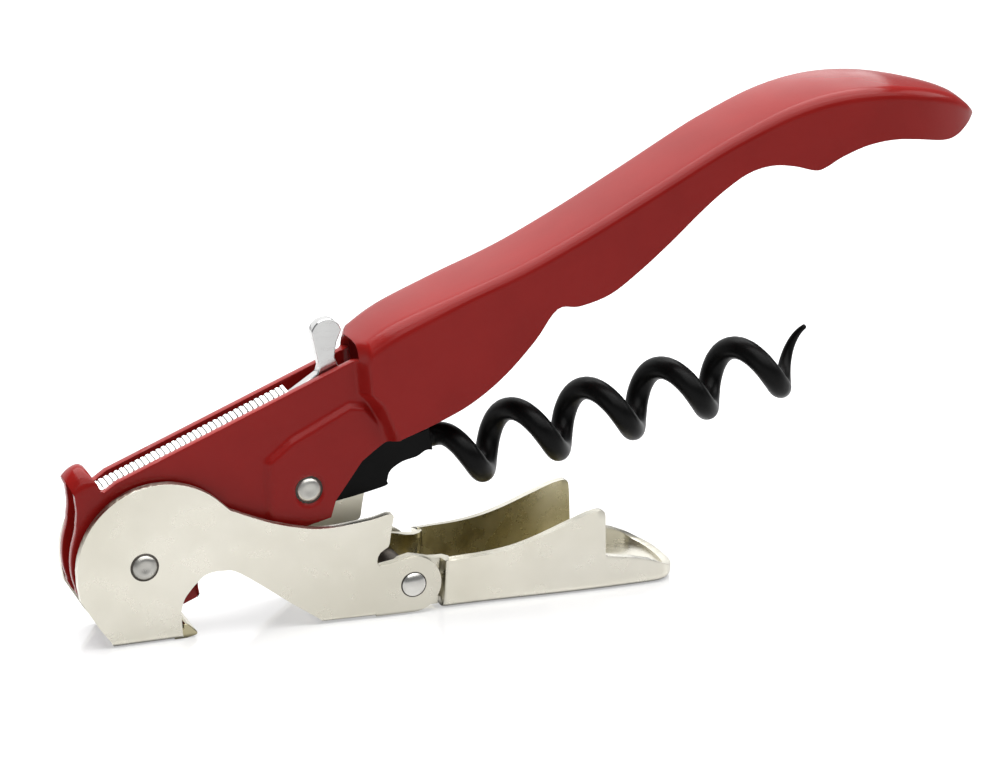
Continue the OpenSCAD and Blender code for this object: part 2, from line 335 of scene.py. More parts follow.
def metal(name, low, high, rough_low, rough_high, stretch=EVEN, grain=1500, height=0.004):
    """Plated or ground steel: colour, gloss and surface vary with stretched noise; the colour gets painted
    contact shade just above the resting plane.
    """
    material, nodes, links, shader = node_tree(name)
    shader.inputs["Metallic"].default_value = 1.0
    colour = ramp(nodes, links, noise(nodes, links, 60), low, high)
    links.new(painted_contact_shade(nodes, links, colour), shader.inputs["Base Color"])
    roughness = ramp(nodes, links, noise(nodes, links, grain / 4, 6, stretch), rough_low, rough_high)
    links.new(roughness, shader.inputs["Roughness"])
    bump(nodes, links, shader, noise(nodes, links, grain, 3, stretch), height)
    return material


def black_coating():
    """Satin non-stick coating over the wire."""
    material, nodes, links, shader = node_tree("black_coating")
    colour = ramp(nodes, links, noise(nodes, links, 120), 0.0015, 0.004)
    links.new(colour, shader.inputs["Base Color"])
    links.new(ramp(nodes, links, noise(nodes, links, 500), 0.30, 0.42), shader.inputs["Roughness"])
    shader.inputs["Specular IOR Level"].default_value = 0.08
    bump(nodes, links, shader, noise(nodes, links, 1800, 3), 0.008)
    return material


enamel = red_paint("red_enamel", (0.205, 0.0066, 0.0052), (0.235, 0.0084, 0.0068))
enamel_edge = red_paint("red_enamel_edge", (0.22, 0.012, 0.010), (0.26, 0.018, 0.015))
nickel = metal("satin_nickel", (0.60, 0.575, 0.49), (0.68, 0.655, 0.575), 0.26, 0.38)
# Darker olive copy of the nickel for inside faces and the opener lip: painted shade
nickel_painted_inner_shade = metal("nickel_inner_painted_shade", (0.34, 0.30, 0.165), (0.50, 0.455, 0.31), 0.20, 0.34)
nickel_edge = metal("nickel_sheared_edge", (0.36, 0.34, 0.27), (0.78, 0.76, 0.68), 0.22, 0.45, SHEARED)
peened = metal("peened_rivet_steel", (0.12, 0.115, 0.10), (0.46, 0.45, 0.42), 0.22, 0.45,
               grain=900, height=0.03)
polished = metal("rivet_steel", (0.55, 0.54, 0.51), (0.68, 0.67, 0.64), 0.14, 0.24)
ground_steel = metal("ground_blade_steel", (0.46, 0.455, 0.45), (0.60, 0.60, 0.59), 0.14, 0.28, GROUND)
# Near-black metal for the rings round the rivet heads and the middle of the shanks: painted shadow of the
# gaps there
seat_shadow = metal("rivet_seat_painted_shadow", (0.05, 0.045, 0.04), (0.09, 0.08, 0.07), 0.5, 0.7)
coating = black_coating()

# ---------------------------------------------------------------- handle

HANDLE_SHEET = 1.0
# Fold between side and roof: radius, what it gains over the tail and at the front, and its largest share
# of the half width where the tail is narrow
FOLD_RADIUS = 1.3
TAIL_FOLD = 0.15
FRONT_FOLD = 0.6
FOLD_SHARE = 0.55
# Rise of the roof to its middle line, with what it gains over the tail
ROOF_CROWN = 0.10
TAIL_CROWN = 0.15
# Half widths over the sheet: at the strap and along the cheek
FRONT_HALF = 2.6
CHEEK_HALF = 2.9
BOSS_RISE = 0.5
BOSS_EDGE = 0.9
DISH_DEPTH = 0.45
DISH_RADIUS = 1.9
DISH_EDGE = 0.4
# Half width of the grip, and height of its back, at each x
GRIP_WIDTHS = [(26, 5.2), (28.4, 5.3), (34, 5.72), (50, 5.95), (64, 6.25), (78, 6.6), (86, 6.6),
               (91.5, 6.45), (96, 5.85), (99.5, 4.95), (103.1, 3.4), (105.6, 1.8), (107, 0.4)]
BACK = [(25.9, 22.9), (27.1, 23.8), (31.1, 26.15), (38.7, 29), (46.4, 31.8), (54, 35.3), (61.8, 39.3),
        (69.7, 43.5), (73.6, 45.4), (80, 48), (86.3, 49.35), (92.7, 49.4), (98.9, 48.4), (103, 47.1),
        (105.4, 45.6), (106.8, 44.3)]
# Side outline of the pressed boss around the worm pin
BOSS = [(15.5, 1.0), (15.5, 7.3), (15.3, 10.4), (18.3, 12.8), (25.5, 16.3), (27.3, 16), (33, 9.5),
        (24.5, 1.0)]
ROOF_START = 26.6
TAIL_START = 90
# Foot of the shoulder between the cheek and the grip: x at each height
SHOULDER = [(11.6, 29.7), (16.3, 27.8), (17.8, 26.4), (21.2, 26.1), (24, 26.1)]
SHOULDER_WIDTH = 1.5
# Slope of the blade slot, and its height over the lever pin
SLOT_RISE = 0.401
SLOT_LEVEL = 11.1
# Strap that joins the cheeks: its ends on the cheek, and its top along the middle
STRAP_ROOT = [(-7.45, 8.75), (-4.75, 9.95)]
STRAP_RIDGE = [(-8.29, 10.53), (-7.85, 11.05), (-7.2, 11.55), (-6.55, 11.8), (-6.05, 11.75), (-5.65, 11.45)]
CHEEK_END = rounded([(-5, -6.1), (-7, -4.8), (-7.9, -2.9), (-8.2, 0.2), (-8.05, 3), (-7.55, 5.8),
                     (-7.3, 7.5), (-7.45, 8.75)], 6)
STRAP_STEPS = 12
ROOF_STEPS = 8
back_curve = rounded(BACK, 6)
strap_ridge = rounded(STRAP_RIDGE, 4)
width_curve = rounded(GRIP_WIDTHS, 6)


def slot_top(x):
    """Point of the cheek's upper edge beside the blade slot."""
    return x, SLOT_LEVEL + SLOT_RISE * x


def tail_share(x):
    """0 along the grip, 1 over the tail."""
    return ease(x, 68, 18)


def front_share(x):
    """1 at the front end of the roof, 0 along the grip."""
    return 1 - ease(x, 28, 14)


def fold_radius(x):
    """Radius of the fold between the side and the roof."""
    wanted = FOLD_RADIUS + TAIL_FOLD * tail_share(x) + FRONT_FOLD * front_share(x)
    return min(wanted, FOLD_SHARE * along(width_curve, x))


def sheet_share(x):
    """Share of the sheet thickness: whole, and less where the tail gets too narrow for it."""
    if x <= TAIL_START:
        return 1.0
    return min(1.0, max(0.1, (along(width_curve, x) - 0.2) / 2.2))


def grip_top(x):
    """Where the side of the grip meets the fold into the roof."""
    return x, along(back_curve, x) - fold_radius(x)


# Lower edge of the cheek, with the point of the upper edge over it and the columns up to the next pair
HANDLE_RIBS = [
    ((-5, -6.1), STRAP_ROOT[0], 8), ((-3.6, -6.05), STRAP_ROOT[1], 3), ((-3.2, -6), (-4.45, 9.2), 2),
    ((-2.8, -6), (-4.05, 9.1), 4), ((-1.8, -5.95), slot_top(-2.6), 12), ((5, -5.7), slot_top(1.5), 3),
    ((6.5, -5.1), slot_top(3), 2), ((6.8, -4.7), slot_top(3.4), 3), ((6.3, -3.6), slot_top(4.2), 10),
    ((10, 1.5), slot_top(8.5), 18), ((17, 1.5), slot_top(15), 22), ((23, 2.9), slot_top(20.5), 8),
    ((23.6, 4.9), slot_top(22.3), 22), ((26.9, 9.4), slot_top(25.4), 12), ((28, 10.2), slot_top(26.55), 1),
    ((28.1, 10.3), grip_top(ROOF_START), 12), ((29.4, 11.2), grip_top(28), 10),
    ((31.2, 12.25), grip_top(29.6), 8),
]
# Lower edge of the grip, with the x of the fold over it
GRIP_RIBS = [
    ((31.2, 12.25), 29.6), ((36.4, 14.2), 33), ((40.1, 16), 37), ((43.9, 18.8), 41), ((47.6, 22.6), 45.5),
    ((50.4, 26.2), 49), ((53.2, 26.3), 52.5), ((57, 27.4), 56.5), ((60.7, 29.9), 60.3), ((64.5, 33), 64.4),
    ((68.2, 36.3), 68.3), ((71.2, 38.7), 71.3), ((74.3, 40.6), 74.6), ((77.3, 41.3), 77.6),
    ((80.2, 41.0), 80.8), ((82.9, 40.25), 84.0), ((84.3, 40.45), 85.6), ((86.6, 41.6), 87.8),
    ((90, 42.7), 91), ((93.5, 43), 94.2), ((97.1, 42.6), 97.4), ((101, 41.9), 101), ((103.2, 42), 103.2),
    ((105.2, 42.85), 105.3), ((106.85, 44), 106.75),
]
HANDLE_ROWS = 44


def handle_ribs():
    """Pairs of lower and upper points, close together where the sheet is pressed."""
    ribs = []
    for (low, high, count), (next_low, next_high, _) in zip(HANDLE_RIBS, HANDLE_RIBS[1:]):
        for k in range(count):
            t = k / count
            top = mix(high, next_high, t)
            if high[0] >= ROOF_START:
                top = grip_top(top[0])
            ribs.append((mix(low, next_low, t), top))
    lows = rounded([low for low, _ in GRIP_RIBS], 5)
    highs = rounded([(x, 0.0) for _, x in GRIP_RIBS], 5)
    return ribs + [(low, grip_top(high[0])) for low, high in zip(lows, highs)]


def handle_half(x, z):
    """Half width over the sheet: cheeks, pressed boss, and the shoulder up to the grip."""
    cheek = FRONT_HALF + (CHEEK_HALF - FRONT_HALF) * ease(x, -7.5, 5)
    if 12 < x < 34:
        from_pin = math.hypot(x - worm_pin[0], z - worm_pin[1])
        cheek += BOSS_RISE * smooth(0.5 - outside((x, z), BOSS) / BOSS_EDGE)
        cheek -= DISH_DEPTH * smooth((DISH_RADIUS - from_pin) / DISH_EDGE)
    return cheek + (along(width_curve, x) - cheek) * ease(x, along(SHOULDER, z), SHOULDER_WIDTH)


def side_points(low, high, shift):
    """Points from the lower edge up the side, bent to the end of the cheek by a share of shift."""
    points = []
    for row in range(HANDLE_ROWS + 1):
        t = row / HANDLE_ROWS
        x, z = mix(low, high, t)
        chord = mix(CHEEK_END[0], CHEEK_END[-1], t)
        edge = CHEEK_END[round(t * (len(CHEEK_END) - 1))]
        x += (edge[0] - chord[0]) * shift
        points.append((x, -handle_half(x, z), z))
    return points


def strap_points(high, share):
    """Points from the cheek over the strap to its ridge, at this share of the strap's width."""
    place_on_ridge = share * (len(strap_ridge) - 1)
    before = min(int(place_on_ridge), len(strap_ridge) - 2)
    ridge = mix(strap_ridge[before], strap_ridge[before + 1], place_on_ridge - before)
    half = handle_half(*high)
    points = []
    for k in range(1, STRAP_STEPS + 1):
        angle = math.pi / 2 * k / STRAP_STEPS
        x, z = mix(high, ridge, math.sin(angle))
        points.append((x, -half * math.cos(angle), z))
    return points


def roof_points(high):
    """Points from the top of the side around the fold, and over the roof to the middle."""
    x, z = high
    half = handle_half(x, z)
    radius = min(fold_radius(x), half * 0.9)
    flat = half - radius
    points = []
    for k in range(1, FOLD_STEPS + 1):
        angle = math.pi / 2 * k / FOLD_STEPS
        points.append((x, -flat - radius * math.cos(angle), z + radius * math.sin(angle)))
    for k in range(1, ROOF_STEPS + 1):
        t = k / ROOF_STEPS
        crown = (ROOF_CROWN + TAIL_CROWN * tail_share(x)) * (1 - (1 - t) ** 2) * min(1.0, half / 4)
        points.append((x, -flat * (1 - t), z + radius + crown))
    return points


def handle_column(index, low, high):
    """One column of the near half: up the side, and over the strap or the roof to the middle."""
    strap_columns = HANDLE_RIBS[0][2]
    points = side_points(low, high, 1 - ease(low[0], -5, 3.2))
    if index <= strap_columns:
        points += strap_points(high, index / strap_columns)
    elif high[0] >= ROOF_START - TINY:
        points += roof_points(high)
    return points


def handle():
    """One folded sheet: two cheeks joined by the strap in front and by the roof of the grip behind."""
    bm = bmesh.new()
    columns = []
    for index, (low, high) in enumerate(handle_ribs()):
        columns.append([bm.verts.new(p) for p in handle_column(index, low, high)])
    grid_faces(bm, columns)
    face_outwards(bm)
    mirror_and_weld(bm)
    shares = [sheet_share(v.co.x) for v in bm.verts]
    piece = finish_piece("handle_sheet", bm, [enamel, enamel_edge], "handle", ["handle"])
    group = piece.vertex_groups.new(name="sheet")
    for index, share in enumerate(shares):
        group.add([index], share, "REPLACE")
    thicken(piece, HANDLE_SHEET, "sheet")
    soften(piece, 0.14, 62)


# ---------------------------------------------------------------- blade

BLADE_NEAR = -1.5
BLADE_FAR = 0.0
BLADE_EDGE = 10.6
BLADE_BEVEL = 0.95
BLADE_LENGTH = 24.2
EDGE_START = -0.9
FLUTES = 37
FLUTE_STEPS = 6
# How far a flute leans back, and how deep its groove is at the middle, across, and at the edge
FLUTE_LEAN = 0.22
GROOVE_MIDDLE = 0.26
GROOVE_ACROSS = 0.22
GROOVE_EDGE = 0.10
SLOT_ANGLE = math.atan(SLOT_RISE)


def blade_point(along_edge, below):
    """Point this far along the cutting edge and this far below it."""
    c, s = math.cos(SLOT_ANGLE), math.sin(SLOT_ANGLE)
    return along_edge * c - (BLADE_EDGE - below) * s, along_edge * s + (BLADE_EDGE - below) * c


def blade():
    """Blade plate with its thumb tab, down to the bevel; the fluted cutting edge is a piece of its own."""
    outline = [blade_point(EDGE_START, BLADE_BEVEL), blade_point(BLADE_LENGTH, BLADE_BEVEL)]
    outline += [(22.2, 20.1), (22.45, 20.9), (22.25, 21.8), (21.6, 24.9)]
    outline += arc((23.35, 24.75), 1.85, 170, 10, 16)
    outline += [(24.55, 23.6), (24.3, 21.9), (25.3, 19.4)]
    outline += [blade_point(28.6, 4.7), blade_point(25, 6.6), blade_point(13, 6.8)]
    outline += arc((0, 0), 4.2, 40, -140, 16)
    bm = bmesh.new()
    slab(bm, outline, BLADE_NEAR, BLADE_FAR)
    piece = finish_piece("blade_plate", bm, [ground_steel], "blade", ["blade"])
    soften(piece, 0.16, 30, 3)


def blade_edge():
    """Row of ground flutes along the bevel: each is a flat land with a narrow groove beside it."""
    bm = bmesh.new()
    count = FLUTES * FLUTE_STEPS
    middle = (BLADE_NEAR + BLADE_FAR) / 2
    columns = []
    for k in range(count + 1):
        s = EDGE_START + (BLADE_LENGTH - EDGE_START) * k / count
        groove = 1.0 if k % FLUTE_STEPS in (1, 2) else 0.0
        foot_x, foot_z = blade_point(s, BLADE_BEVEL)
        face_x, face_z = blade_point(s - FLUTE_LEAN * 0.5, BLADE_BEVEL / 2 + GROOVE_MIDDLE * groove)
        edge_x, edge_z = blade_point(s - FLUTE_LEAN, GROOVE_EDGE * groove)
        columns.append([bm.verts.new(p) for p in (
            (foot_x, BLADE_NEAR, foot_z), (face_x, middle + GROOVE_ACROSS * groove, face_z),
            (edge_x, BLADE_FAR - 0.05, edge_z), (foot_x, BLADE_FAR, foot_z))])
    grid_faces(bm, columns)
    bm.faces.new(columns[0])
    bm.faces.new(columns[-1][::-1])
    bmesh.ops.recalc_face_normals(bm, faces=bm.faces[:])
    piece = finish_piece("blade_fluted_edge", bm, [ground_steel], "blade", [])
    piece.data.polygons.foreach_set("use_smooth", [False] * len(piece.data.polygons))


def blade_spacers():
    """A thin and a thick washer keep the blade off the cheeks."""
    inner = CHEEK_HALF - HANDLE_SHEET
    gap = 0.05
    bm = bmesh.new()
    for y0, y1 in ((-inner + gap, BLADE_NEAR - gap), (BLADE_FAR + gap, inner - gap)):
        profile = [(1.3, y0), (3.3, y0), (3.4, y0 + 0.1), (3.4, y1 - 0.1), (3.3, y1), (1.3, y1), (1.3, y0)]
        turned(bm, (0, 0), profile)
    finish_piece("blade_washers", bm, [polished], "handle", ["blade_spacers"])


# ---------------------------------------------------------------- worm

WIRE_RADIUS = 1.4
WORM_RADIUS = 9.15 / 2
WORM_PITCH = 9.8
WORM_TURNS = 5
WORM_ANGLE = math.radians(8.8)
WORM_START = 17.55
AXIS_DROP = 1.4
COIL_PHASE = math.radians(-4.7)
# Turns over which the straight wire eases into the helix, and over which the coil widens off the lower root
COIL_EASE = 0.1
ROOT_TURNS = 0.35
ROOT_DROP = 0.45
ROOT_HALF = 1.2
# The last turns: the wire is drawn out, turns back, widens and is pushed ahead
DRAWN_TURNS = 0.55
TIP_TURN_BACK = 0.09
TIP_WIDENING = 0.1
TIP_AHEAD = 0.25
# Turns over which the wire thins to the point, and the share of its radius that it loses
TAPER_TURNS = 0.62
TAPER = 0.78
TURN_STEPS = 48
LEAD_STEPS = 10
WIRE_SIDES = 22


def worm_place(x, y, z):
    """From the worm's own axes, with the helix level, to the part at rest."""
    c, s = math.cos(WORM_ANGLE), math.sin(WORM_ANGLE)
    return worm_pin[0] + x * c - z * s, y, worm_pin[1] + x * s + z * c


def coil_point(t):
    """Middle of the wire after t turns: straight off the root, then the helix, and drawn out at the tip."""
    last = max(0.0, (t - WORM_TURNS + DRAWN_TURNS) / DRAWN_TURNS)
    turned_by = t
    if t < -COIL_EASE:
        turned_by = 0.0
    elif t < COIL_EASE:
        turned_by = (t + COIL_EASE) ** 2 / (4 * COIL_EASE)
    a = 2 * math.pi * (turned_by - TIP_TURN_BACK * last ** 2) + COIL_PHASE
    radius = WORM_RADIUS - WIRE_RADIUS - ROOT_DROP * (1 - smooth((t + COIL_EASE) / ROOT_TURNS))
    radius *= 1 + TIP_WIDENING * last ** 2
    advance = WORM_PITCH * t + TIP_AHEAD * smooth((t - WORM_TURNS + 0.9) / 0.5)
    return Vector((WORM_START + advance, -math.sin(a) * radius, math.cos(a) * radius - AXIS_DROP))


def worm_coil():
    """Wire swept along the helix, thinning to the point in the last turn."""
    bm = bmesh.new()
    rings = []
    step = 1 / TURN_STEPS
    around = [2 * math.pi * k / WIRE_SIDES for k in range(WIRE_SIDES)]
    for i in range(-LEAD_STEPS, TURN_STEPS * WORM_TURNS + 1):
        t = i * step
        centre = coil_point(t)
        ahead = (coil_point(t + step / 2) - coil_point(t - step / 2)).normalized()
        out = Vector((0, centre.y, centre.z + AXIS_DROP)).normalized()
        up = ahead.cross(out).normalized()
        out = up.cross(ahead)
        last = max(0.0, (t - WORM_TURNS + TAPER_TURNS) / TAPER_TURNS)
        wire = WIRE_RADIUS * (1 - TAPER * last ** 0.9)
        ring = [centre + wire * (math.cos(w) * out + math.sin(w) * up) for w in around]
        rings.append([bm.verts.new(worm_place(*p)) for p in ring])
    for one, two in zip(rings, rings[1:]):
        for k in range(WIRE_SIDES):
            n = (k + 1) % WIRE_SIDES
            bm.faces.new((one[k], one[n], two[n], two[k]))
    bm.faces.new(rings[0][::-1])
    bm.faces.new(rings[-1])
    bmesh.ops.recalc_face_normals(bm, faces=bm.faces[:])
    finish_piece("worm_coil", bm, [coating], "worm", ["worm"])


def worm_root():
    """Flattened end of the wire that turns on its pin."""
    top = WORM_RADIUS - AXIS_DROP - ROOT_DROP
    end = WORM_START - 1.3
    outline = arc((0, 0), 3.1, 270, 90, 16)
    outline += rounded([(8.5, 3), (13, 2.6), (15, 2.6), (end, top)], 5)
    outline += rounded([(end, top - 2 * WIRE_RADIUS), (15.4, 0.1), (14.2, -0.35), (12.3, -0.5),
                        (10.7, -1.2), (10.1, -2.3), (9.8, -2.9), (5.7, -3.1)], 4)
    bm = bmesh.new()
    slab(bm, [worm_place(x, 0, z)[::2] for x, z in outline], -ROOT_HALF, ROOT_HALF)
    piece = finish_piece("worm_root", bm, [coating], "worm", [])
    soften(piece, 0.55, 50, 4)


# ---------------------------------------------------------------- levers

LEVER_SHEET = 1.1
LEVER_WIDTHS = [(-12, 4.5), (3, 4.5), (10, 4.9), (20, 5.5), (28, 5.9), (32, 6.0), (40, 6.0)]
LUG_RADIUS = 3.45
# The two folds under the first lever: radius, where they start on the plate, and where they reach the middle
LIP_FOLD = 0.9
LIP_SPAN = (-4.3, 4.3)
LIP_FOOT = (-3.6, 4.6)
WEB_FOLD = 0.5
WEB_SPAN = (20.7, 27.6)
WEB_FOOT = (21.4, 27.6)
UNDERFOLD_STEPS = 5
WEB_STEPS = 3


def lever_first():
    """Two plates, folded together under the opener and under the step."""
    lug_bottom = hinge_pin[1] - LUG_RADIUS
    lip_line = ground + LIP_FOLD
    web_line = lug_bottom + WEB_FOLD
    outline = arc((2.1, -0.3), 10.1, 176, 50, 26)
    outline += rounded([(10.3, 5.8), (15, 3.8), (19.5, 2.6), (22.4, 2.4), (24.8, 2.6), (27.3, 2.9),
                        (28.8, 3.25)], 5)
    outline += [(29.3, 3.35), (29.75, 3.25), (29.9, 2.95), (29.72, 2), (29.5, 0.8), (29.35, -0.3)]
    outline += [(29.2, -0.7)]
    outline += [(28.7, -1), (28.2, -1.35), (27.9, -1.85), (27.8, -2.4), (27.85, -2.8), (28.1, -3.02)]
    outline += arc(hinge_pin, LUG_RADIUS, 110, -90, 26)
    outline += [(WEB_SPAN[1], lug_bottom), (WEB_SPAN[1], web_line), (WEB_SPAN[0], web_line)]
    outline += rounded([(17.3, -6.4), (11.4, -2.1), (9.3, -1.5), (7.4, -1.7), (6.1, -2.7), (4.7, -4.4),
                        (4.2, -6)], 5)
    outline += [(LIP_SPAN[1], lip_line), (LIP_SPAN[0], lip_line), (-5.4, -7.1), (-7.6, -3.4), (-7.9, -1.6)]
    bm = bmesh.new()
    bm.faces.new([bm.verts.new((x, 0, z)) for x, z in outline])
    # Cut across every millimetre, so that the flat plate can follow the widths
    for x in range(-7, 36):
        bmesh.ops.bisect_plane(bm, geom=bm.verts[:] + bm.edges[:] + bm.faces[:], plane_co=(x, 0, 0),
                               plane_no=(1, 0, 0), dist=0.02)
    for v in bm.verts:
        v.co.y = -along(LEVER_WIDTHS, v.co.x)
    fold_under(bm, lip_line, LIP_SPAN, LIP_FOOT, LIP_FOLD)
    fold_under(bm, web_line, WEB_SPAN, WEB_FOOT, WEB_FOLD)
    face_outwards(bm)
    mirror_and_weld(bm)
    piece = finish_piece("lever_first_plates", bm, [nickel, nickel_edge], "lever_first", ["lever_first"])
    thicken(piece, LEVER_SHEET)
    soften(piece, 0.12, 40)


def fold_under(bm, level, span, foot, radius):
    """Rounds the lower edge of the near plate at this level, and carries the sheet to the middle."""
    edge = [v for v in bm.verts if abs(v.co.z - level) < 1e-4 and span[0] - 0.01 < v.co.x < span[1] + 0.01]
    edge.sort(key=lambda v: v.co.x)
    columns = []
    for v in edge:
        t = (v.co.x - span[0]) / (span[1] - span[0])
        x1 = foot[0] + (foot[1] - foot[0]) * t
        column = [v]
        for k in range(1, UNDERFOLD_STEPS + 1):
            angle = math.pi / 2 * k / UNDERFOLD_STEPS
            x = v.co.x + (x1 - v.co.x) * k / UNDERFOLD_STEPS
            y = v.co.y + radius * (1 - math.cos(angle))
            column.append(bm.verts.new((x, y, level - radius * math.sin(angle))))
        for k in range(1, WEB_STEPS + 1):
            column.append(bm.verts.new((x1, (v.co.y + radius) * (1 - k / WEB_STEPS), level - radius)))
        columns.append(column)
    grid_faces(bm, columns)


def opener_lip():
    """The upturned lip that catches under the rim of a crown cap."""
    inside = ground + LEVER_SHEET
    outline = [(3.4, ground), (4.9, ground), (6.1, -9.25), (6.25, -9.0), (6.1, -8.75), (5.3, -7.95),
               (4.75, -7.65), (4.5, -7.8), (4.55, inside + 0.2), (4.2, inside), (3.4, inside)]
    half = along(LEVER_WIDTHS, 4) - 0.35
    bm = bmesh.new()
    slab(bm, outline, -half, half)
    # The lip gets the darker nickel copy with painted shade
    piece = finish_piece("opener_lip", bm, [nickel_painted_inner_shade], "lever_first", [])
    soften(piece, 0.15, 30, 3)


CHANNEL_SHEET = 1.05
CHANNEL_FOLD = 1.0
FRONT_LEAN = 0.8
EAR_HALF = 4.8
EAR_RADIUS = LUG_RADIUS - 0.2
CHANNEL_HALF = 6.5
TIP_HALF = 6.6
# Where the channel starts behind the ears, where its long side starts, and where its wall tips end
CHANNEL_START = 35.8
SIDE_START = 36.6
SIDE_END = 55.3
SIDE_STATIONS = 19
WALL_ROWS = 8
FLOOR_STEPS = 5
# Where the floor of the nose starts to fan out, and how far apart its columns meet the middle
FAN_START = 61
FAN_STEP = 0.13
FAN_COLUMNS = 30
# Plan of the near wall: ear, then the step out to the channel
WALL_PLAN = [(x, EAR_HALF) for x in (29.15, 30, 31, 32.3, 33.5, 34.7, 35.7)]
WALL_PLAN += [(35.93, EAR_HALF + 0.06), (36.05, EAR_HALF + 0.25), (36.12, 5.6), (36.2, 6.25), (36.35, 6.42),
              (SIDE_START, CHANNEL_HALF)]
NOSE_PLAN = [(56.9, TIP_HALF), (60, TIP_HALF), (62.5, 6.58), (63.9, 6.4), (65, 5.8), (65.75, 4.8),
             (66.25, 3.4), (66.5, 1.7), (66.55, 0)]
# Upper edges: along the wall, at the wall tip, down the nose, and the two that limit the ear behind the pin
WALL_TOP = rounded([(35.2, -3.3), (37.7, -3.2), (41.7, -3.05), (44.7, -2.65), (47.7, -1.85), (51.2, -0.6),
                    (54, 0.4), (SIDE_END, 0.7)], 6)
TIP_TOP = [(55.6, 0.72), (55.95, 0.68), (56.2, 0.6), (56.38, 0.35), (56.45, 0), (56.5, -4.9), (56.6, -5.15)]
NOSE_TOP = [(56.9, -5.2), (60, -5.75), (62.5, -6.45), (64.3, -7.2), (65.5, -7.8), (66.6, -8.1)]
EAR_TOP = [(32.3, -2.6), (33.5, -2.82)] + WALL_TOP
EAR_LIMIT = [(32.3, -2.5), (33, -2.8), (70, 9)]


def wall_columns():
    """Stations along the near wall as (x, half width, lower edge, upper edge)."""
    columns = []
    for x, half in WALL_PLAN:
        if x < hinge_pin[0]:
            reach = math.sqrt(max(0.0, EAR_RADIUS ** 2 - (x - hinge_pin[0]) ** 2))
            low, high = hinge_pin[1] - reach, hinge_pin[1] + reach
        else:
            low, high = hinge_pin[1] - EAR_RADIUS, along(EAR_TOP, x)
        if x > CHANNEL_START:
            low = ground + CHANNEL_FOLD * (1.1 if x < 36.3 else 1)
        if x < 34:
            high = min(high, along(EAR_LIMIT, x))
        columns.append((x, half, low, high))
    base = ground + CHANNEL_FOLD
    for k in range(1, SIDE_STATIONS + 1):
        x = SIDE_START + (SIDE_END - SIDE_START) * k / SIDE_STATIONS
        columns.append((x, CHANNEL_HALF + 0.1 * ease(x, 36, 20), base, along(WALL_TOP, x)))
    for x, top in TIP_TOP:
        columns.append((x, TIP_HALF, base, top))
    for x, half in rounded(NOSE_PLAN, 4):
        columns.append((x, half, base, along(NOSE_TOP, x)))
    return columns


def inward_at(stations, index):
    """Direction in plan, square to the near wall, from it to the middle."""
    last = len(stations) - 1
    if index == last:
        return Vector((-1, 0))
    if stations[index][0] < 40:
        return Vector((0, 1))
    before, after = stations[max(index - 1, 0)], stations[min(index + 1, last)]
    inward = Vector((after[1] - before[1], after[0] - before[0])).normalized()
    return -inward if inward.y < 0 else inward


def floor_points(bm, x, y, inward, from_end):
    """Vertices around the fold below a wall that ends at (x, y), and over the floor to the middle."""
    column = []
    for k in range(1, FOLD_STEPS + 1):
        angle = math.pi / 2 * k / FOLD_STEPS
        step = CHANNEL_FOLD * (1 - math.cos(angle))
        column.append(bm.verts.new((x + inward.x * step, min(0, y + inward.y * step),
                                    ground + CHANNEL_FOLD * (1 - math.sin(angle)))))
    x1, y1 = column[-1].co.x, column[-1].co.y
    target = x1
    if x1 >= FAN_START:
        target = min(x1, max(FAN_START, FAN_START + (FAN_COLUMNS - from_end) * FAN_STEP))
    for k in range(1, FLOOR_STEPS + 1):
        x2 = x1 + (target - x1) * k / FLOOR_STEPS
        column.append(bm.verts.new((x2, y1 * (1 - k / FLOOR_STEPS), ground)))
    return column


def lever_second():
    """Channel with narrow ears at the hinge, tall wall tips and a low nose."""
    bm = bmesh.new()
    stations = wall_columns()
    columns = []
    tray = len(WALL_PLAN) - 3
    for index, (x, half, low, high) in enumerate(stations):
        lean = FRONT_LEAN * (1 - ease(x, 36, 22)) if x > CHANNEL_START else 0
        column = []
        for k in range(WALL_ROWS + 1):
            y, z = -half + lean * k / WALL_ROWS, high + (low - high) * k / WALL_ROWS
            column.append(bm.verts.new((x, y, z)))
        if index >= tray:
            inward = inward_at(stations, index)
            column += floor_points(bm, x, -half + lean, inward, len(stations) - index)
        columns.append(column)
    grid_faces(bm, columns)
    # The nose has the bright plate on its inside too: its faces start at slot 3, the others at slot 0, whose
    # inside gets the darker nickel copy with painted shade
    for face in bm.faces:
        face.material_index = 3 if face.calc_center_median().x > NOSE_PLAN[0][0] else 0
    face_outwards(bm)
    mirror_and_weld(bm)
    piece = finish_piece("lever_second_channel", bm,
                         [nickel, nickel_edge, nickel_painted_inner_shade, nickel, nickel_edge, nickel],
                         "lever_second", ["lever_second"])
    thicken(piece, CHANNEL_SHEET, inner=2)
    soften(piece, 0.12, 50)


# ---------------------------------------------------------------- pins

SHANK = 1.2
HEAD = 1.48
HEAD_HEIGHT = 0.40
HEAD_EDGE = 0.12
SEAT_RISE = 0.02
SEAT_DEPTH = 0.1
# Crown of a head: (radius, height over the plate)
PEENED = [(0, 0.24), (0.3, 0.26), (0.6, 0.33), (0.85, 0.35), (1.15, 0.28), (1.38, 0.14)]
DOMED = [(0, 0.40), (0.35, 0.385), (0.7, 0.33), (1.0, 0.24), (1.25, 0.13), (1.4, 0.04)]


